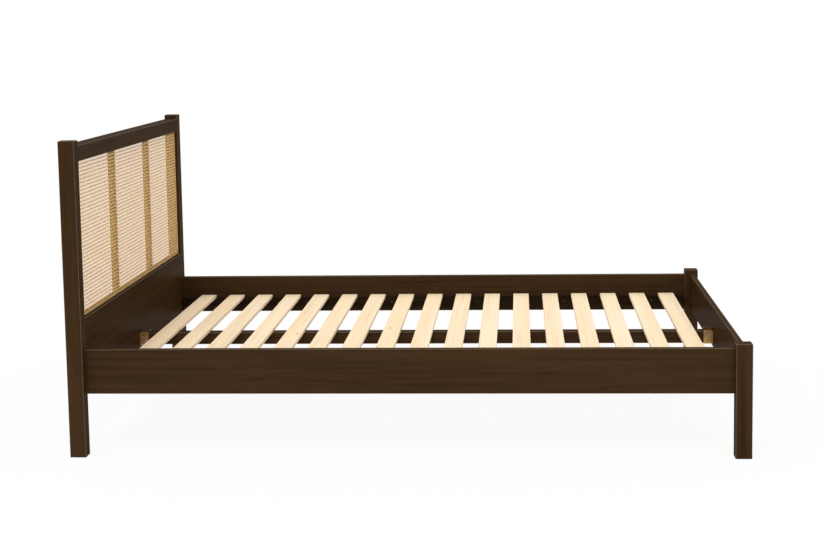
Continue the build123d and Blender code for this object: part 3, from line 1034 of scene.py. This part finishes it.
@dataclass
class Studio:
    """The floor, the light and the camera."""

    floor_size: float = 60.0
    floor_colour: Colour = (0.84, 0.84, 0.84)
    floor_white: float = 0.90
    sky_strength: float = 0.74
    key_strength: float = 1.75
    key_softness: float = 0.9
    key_from: Vector = field(default_factory=lambda: Vector((-0.10, -0.62, 0.90)))
    focal_pixels: float = 1567.3
    image_centre: tuple[float, float] = (411.0, 208.0)
    camera_place: Vector = field(default_factory=lambda: Vector((0.3528, -5.4382, 1.3073)))
    yaw: float = 0.0694
    pitch: float = 0.1132
    roll: float = 0.0164

    def floor(self) -> None:
        """Lay a pale floor that stays white to the camera and keeps a soft shadow."""
        half = self.floor_size / 2
        mesh = bpy.data.meshes.new("floor")
        corners = [(-half, -half, 0), (half, -half, 0), (half, half, 0), (-half, half, 0)]
        mesh.from_pydata(corners, [], [(0, 1, 2, 3)])
        floor = bpy.data.objects.new("floor", mesh)
        bpy.context.scene.collection.objects.link(floor)
        shader = Shader("pale_floor")
        paint = shader.node("ShaderNodeBsdfDiffuse", None, {"Color": (*self.floor_colour, 1)})
        white = shader.node("ShaderNodeEmission", None, {"Color": (1, 1, 1, 1), "Strength": 1.0})
        seen = self.seen(shader) * self.floor_white
        shader.node_output(shader.node("ShaderNodeMixShader", None, {0: seen, 1: paint, 2: white}))
        mesh.materials.append(shader.material)

    @staticmethod
    def seen(graph: Graph) -> Wire:
        """Mark the rays that the camera, a gloss or a glass sends.

        Args:
            graph: The graph that the mark is for.

        Returns:
            1 for such a ray and 0 for any other.
        """
        camera = graph.node("ShaderNodeLightPath", output="Is Camera Ray")
        gloss = Wire(graph, camera.socket.node.outputs["Is Glossy Ray"])
        glass = Wire(graph, camera.socket.node.outputs["Is Transmission Ray"])
        return camera.maths("MINIMUM", camera + gloss + glass, 1.0)

    def light(self) -> None:
        """Light the bed with an even sky and one soft key from the front, above the headboard."""
        world = bpy.data.worlds.new("studio")
        bpy.context.scene.world = world
        world.use_nodes = True
        world.node_tree.nodes.clear()
        sky = Graph(world.node_tree)
        dim = sky.node("ShaderNodeBackground", None, {"Color": (1, 1, 1, 1), "Strength": self.sky_strength})
        white = sky.node("ShaderNodeBackground", None, {"Color": (1, 1, 1, 1), "Strength": 1.0})
        both = sky.node("ShaderNodeMixShader", None, {0: self.seen(sky), 1: dim, 2: white})
        output = world.node_tree.nodes.new("ShaderNodeOutputWorld")
        world.node_tree.links.new(both.socket, output.inputs["Surface"])
        key = bpy.data.lights.new("key", "SUN")
        key.energy = self.key_strength
        key.angle = self.key_softness
        lamp = bpy.data.objects.new("key", key)
        lamp.rotation_euler = self.key_from.to_track_quat("Z", "Y").to_euler()
        bpy.context.scene.collection.objects.link(lamp)

    def camera(self) -> None:
        """Set the camera at the photograph's angle."""
        c1, s1 = math.cos(self.yaw), math.sin(self.yaw)
        c2, s2 = math.cos(self.pitch), math.sin(self.pitch)
        forward = Vector((-c2 * s1, c2 * c1, -s2))
        level = Vector((c1, s1, 0))
        over = Vector((-s2 * s1, s2 * c1, c2))
        right = math.cos(self.roll) * level - math.sin(self.roll) * over
        up = math.sin(self.roll) * level + math.cos(self.roll) * over
        data = bpy.data.cameras.new("camera")
        data.sensor_width = SENSOR_WIDTH
        data.lens = self.focal_pixels * SENSOR_WIDTH / IMAGE_WIDTH
        data.shift_x = (IMAGE_WIDTH / 2 - self.image_centre[0]) / IMAGE_WIDTH
        data.shift_y = (self.image_centre[1] - IMAGE_HEIGHT / 2) / IMAGE_WIDTH
        eye = bpy.data.objects.new("camera", data)
        turn = Matrix((right, up, -forward)).transposed().to_4x4()
        eye.matrix_world = Matrix.Translation(self.camera_place) @ turn
        bpy.context.scene.collection.objects.link(eye)
        bpy.context.scene.camera = eye

    def build(self) -> None:
        """Set up the whole studio."""
        self.floor()
        self.light()
        self.camera()
        bpy.context.scene.view_settings.view_transform = "Standard"


def main() -> None:
    """Build and dress the bed, piece by piece."""
    logging.basicConfig(level=logging.INFO, format="%(name)s: %(message)s")
    Studio().build()
    finishes = Finishes()
    Timber().dress(finishes)
    CaneWeb().build(finishes)
    SlatDeck().build(finishes)
    SmallParts().dress(finishes)
    small = {"shank_radius": 1.4 * MM, "recess_size": 3.2 * MM, "recess_depth": 1.1 * MM}
    large = {"shank_radius": 2.0 * MM, "recess_size": 4.4 * MM, "recess_depth": 1.4 * MM}
    bolt = {"shank_radius": 4.0 * MM, "recess_size": 3.4 * MM, "recess_depth": 4.0 * MM}
    cross = Drive.CROSS
    Fasteners("bracket_screws", cross, head_height=2.2 * MM, pan_head=True, **small).build(finishes.zinc)
    Fasteners("batten_screws", cross, head_height=2.0 * MM, **small).build(finishes.zinc)
    # The ledger screws are made near black as painted shade.
    Fasteners("ledger_screws", cross, head_height=2.4 * MM, **large).build(finishes.shade_darkened_steel)
    Fasteners("rail_bolts", Drive.HEX, head_height=8.0 * MM, **bolt).build(finishes.zinc)


if __name__ == "__main__":
    main()
